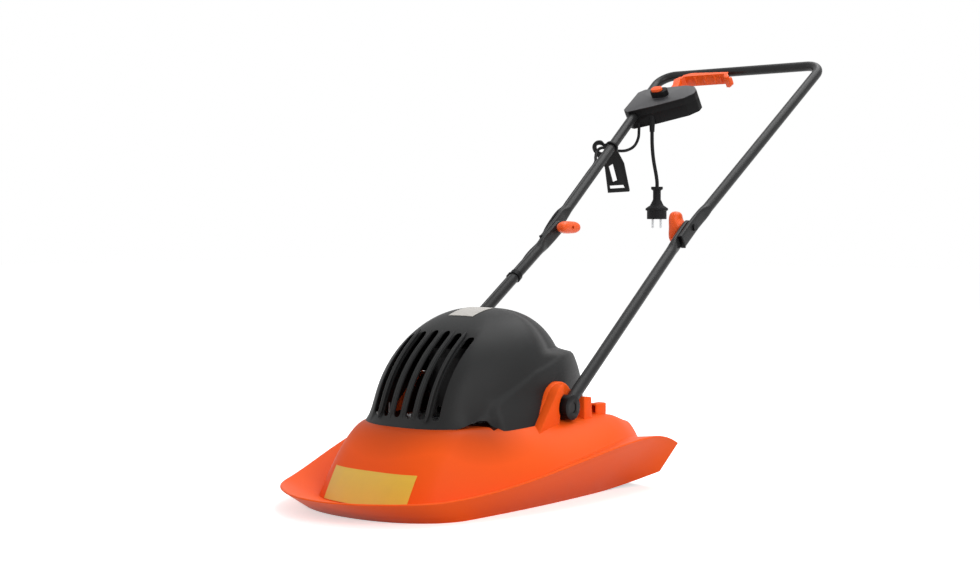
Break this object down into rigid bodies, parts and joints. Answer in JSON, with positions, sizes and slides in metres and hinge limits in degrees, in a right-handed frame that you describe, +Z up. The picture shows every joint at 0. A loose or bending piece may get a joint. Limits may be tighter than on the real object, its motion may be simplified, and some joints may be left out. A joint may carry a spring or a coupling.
{
  "type": "hover mower",
  "caption": "Electric hover mower with an orange air-cushion deck, dark ventilated motor hood and a folding U-shaped tube handle with a bail switch",
  "frame": {"origin": "on the ground under the middle of the mower's length and width, without the hanging pigtail", "axes": "+Z up, -Y the front of the deck, +Y the handle's crossbar, +X the mower's left"},
  "size_m": [0.4996, 1.2421, 0.746],
  "materials": {
    "orange_shell": "moulded, satin gloss",
    "orange_plastic": "moulded, satin",
    "hood_grey": "fine matt grain",
    "black_plastic": "moulded, matt",
    "black_metal": "black coated",
    "tube_paint": "dark grey powder coat",
    "steel": "plain steel",
    "iron": "laminated iron",
    "brass_fittings": "plain",
    "rubber_black": "smooth",
    "yellow_label": "printed film, blank",
    "grey_label": "printed film, blank"
  },
  "bodies": {
    "base": {"deck": "orange_shell", "front_label": "yellow_label", "hood": "hood_grey", "hood_label": "grey_label", "hood_screws": "steel", "motor_plate": "steel", "motor_can": "black_metal", "motor_cap": "black_plastic", "stator": "iron", "brush_holders": "brass_fittings", "brushes": "black_plastic", "lower_bearing": "steel", "upper_bearing": "steel", "motor_screws": "steel", "motor_nuts": "steel", "pivot_bolts": "black_metal", "pivot_nuts": "steel", "lead_grommet": "rubber_black", "lead_pivot_loop": "rubber_black"},
    "rotor": {"rotor_shaft": "steel", "armature": "iron", "commutator": "brass_fittings", "impeller": "black_plastic", "blade_spacer": "black_plastic", "blade": "steel", "blade_bolt": "steel"},
    "lower_handle": {"lower_tube_left": "tube_paint", "lower_tube_right": "tube_paint", "pivot_foot_left": "black_plastic", "pivot_foot_right": "black_plastic", "lead_lower": "rubber_black", "lead_clips": "black_plastic"},
    "upper_frame": {"upper_handle": "tube_paint", "end_plugs": "black_plastic", "wing_bolts": "black_metal", "switch_case_upper": "black_plastic", "switch_case_lower": "black_plastic", "case_screws": "steel", "micro_switch": "black_plastic", "lever_pin": "steel", "lever_spring": "steel", "button_spring": "steel", "strain_relief": "rubber_black", "mains_cord": "rubber_black", "plug_body": "rubber_black", "plug_pins": "steel", "lead_upper": "rubber_black", "lead_joint_loop": "rubber_black", "cord_hook": "black_plastic"},
    "knob_left": {"wing_knob_left": "orange_plastic"},
    "knob_right": {"wing_knob_right": "orange_plastic"},
    "lever": {"switch_lever": "orange_plastic"},
    "button": {"lock_button": "orange_plastic"}
  },
  "joints": [
    {"name": "rotor_spin", "type": "hinge", "parent": "base", "child": "rotor", "pos_m": [0, -0.29999, 0.06], "axis": [0, 0, 1], "continuous": true},
    {"name": "handle_pivot", "type": "hinge", "parent": "base", "child": "lower_handle", "pos_m": [0, -0.22999, 0.139], "axis": [1, 0, 0], "range_deg": [0, 55], "deforming": ["lead_pivot_loop"]},
    {"name": "upper_fold", "type": "hinge", "parent": "lower_handle", "child": "upper_frame", "pos_m": [0, 0.16566, 0.41604], "axis": [1, 0, 0], "range_deg": [0, 150], "deforming": ["lead_joint_loop"]},
    {"name": "knob_left_turn", "type": "hinge", "parent": "upper_frame", "child": "knob_left", "pos_m": [0.125, 0.16566, 0.41604], "axis": [1, 0, 0], "continuous": true},
    {"name": "knob_right_turn", "type": "hinge", "parent": "upper_frame", "child": "knob_right", "pos_m": [-0.125, 0.16566, 0.41604], "axis": [-1, 0, 0], "continuous": true},
    {"name": "lever_squeeze", "type": "hinge", "parent": "upper_frame", "child": "lever", "pos_m": [-0.118, 0.54003, 0.68505], "axis": [0, -0.5835, 0.8121], "range_deg": [0, 5.5], "stiffness_Nm_per_rad": 2, "springref_deg": -8.59, "deforming": ["lever_spring"]},
    {"name": "button_press", "type": "slide", "parent": "upper_frame", "child": "button", "axis": [0, 0.5835, -0.8121], "range_m": [0, 0.004], "stiffness_N_per_m": 400, "springref_m": -0.004, "deforming": ["button_spring"]}
  ]
}
